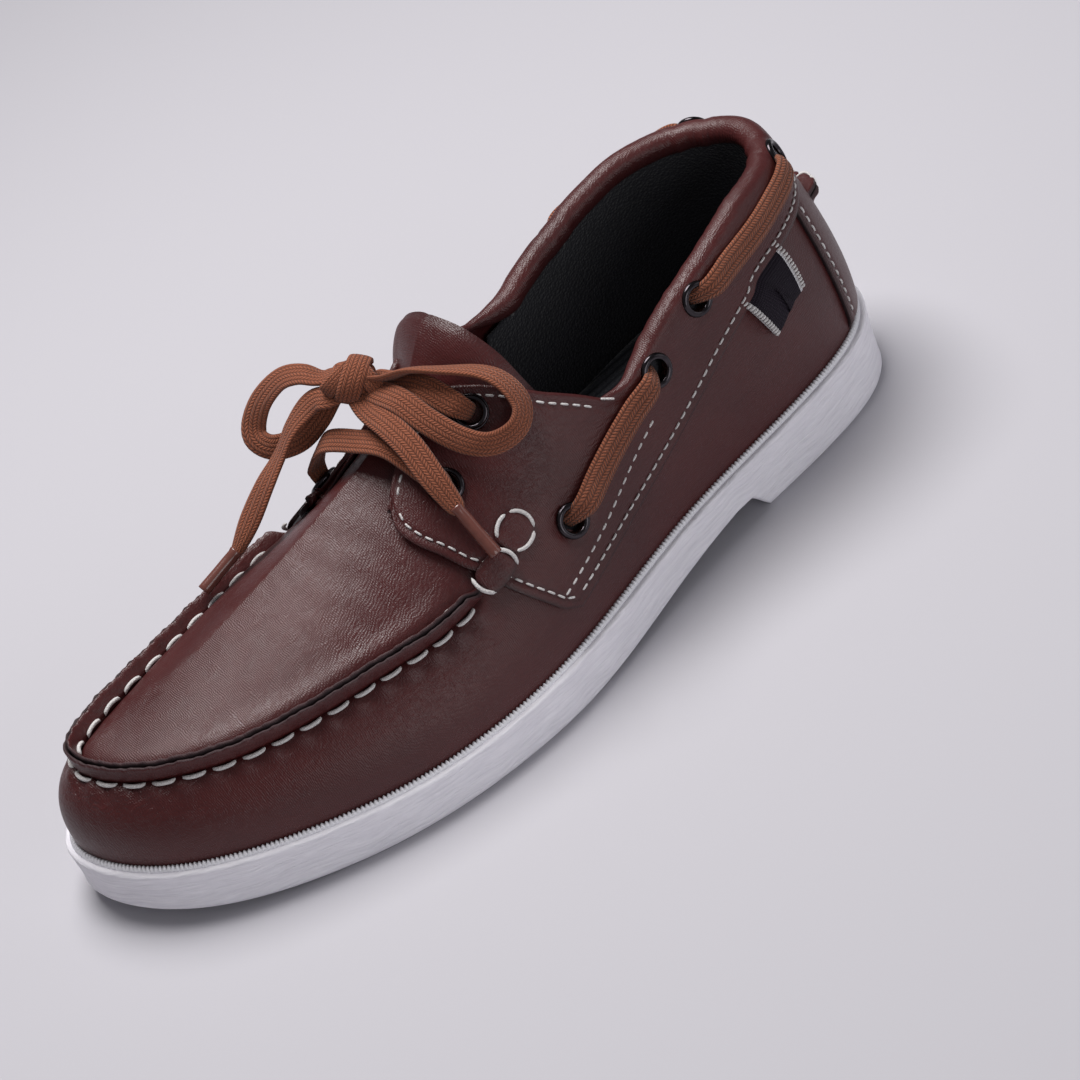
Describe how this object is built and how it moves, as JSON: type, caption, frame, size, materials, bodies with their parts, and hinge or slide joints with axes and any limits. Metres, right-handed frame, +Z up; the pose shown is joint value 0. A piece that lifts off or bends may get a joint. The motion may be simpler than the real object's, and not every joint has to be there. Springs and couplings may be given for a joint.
{
  "type": "boat shoe",
  "caption": "Left boat shoe: low hollow leather upper with a moccasin seam, side lace through metal eyelets, a bow over the tongue, and a moulded rubber sole",
  "frame": {"origin": "on the floor under the middle of the shoe's box, measured without the bow", "axes": "+Z up, toe towards -Y, outer (lateral) side towards +X"},
  "size_m": [0.1078, 0.2932, 0.1029],
  "materials": {
    "leather": "smooth aniline leather with fine grain",
    "sole_rubber": "matt moulded rubber",
    "insole_textile": "dark woven cover",
    "eyelet_metal": "gunmetal plating",
    "lace_cotton": "braided flat cotton",
    "aglet_plastic": "shrunk gloss film",
    "tag_woven": "woven ribbon"
  },
  "bodies": {
    "root": {"aglet_lateral": "aglet_plastic", "aglet_medial": "aglet_plastic", "eyelet_front_high_lateral": "eyelet_metal", "eyelet_front_high_medial": "eyelet_metal", "eyelet_front_low_lateral": "eyelet_metal", "eyelet_front_low_medial": "eyelet_metal", "eyelet_side_1_lateral": "eyelet_metal", "eyelet_side_1_medial": "eyelet_metal", "eyelet_side_2_lateral": "eyelet_metal", "eyelet_side_2_medial": "eyelet_metal", "eyelet_side_3_lateral": "eyelet_metal", "eyelet_side_3_medial": "eyelet_metal", "eyelet_side_4_lateral": "eyelet_metal", "eyelet_side_4_medial": "eyelet_metal", "heel_counter": "leather", "heel_pinch": "leather", "insole": "insole_textile", "lace_crossing_front_high": "lace_cotton", "lace_crossing_front_low": "lace_cotton", "lace_end_lateral": "lace_cotton", "lace_end_medial": "lace_cotton", "lace_knot": "lace_cotton", "lace_loop_lateral": "lace_cotton", "lace_loop_medial": "lace_cotton", "lace_side_front_lateral": "lace_cotton", "lace_side_front_medial": "lace_cotton", "lace_side_rear_lateral": "lace_cotton", "lace_side_rear_medial": "lace_cotton", "moc_seam": "leather", "outsole": "sole_rubber", "quarter": "leather", "seam_tab_lateral": "leather", "seam_tab_medial": "leather", "tag": "tag_woven", "tongue": "leather", "upper": "leather"}
  },
  "joints": []
}
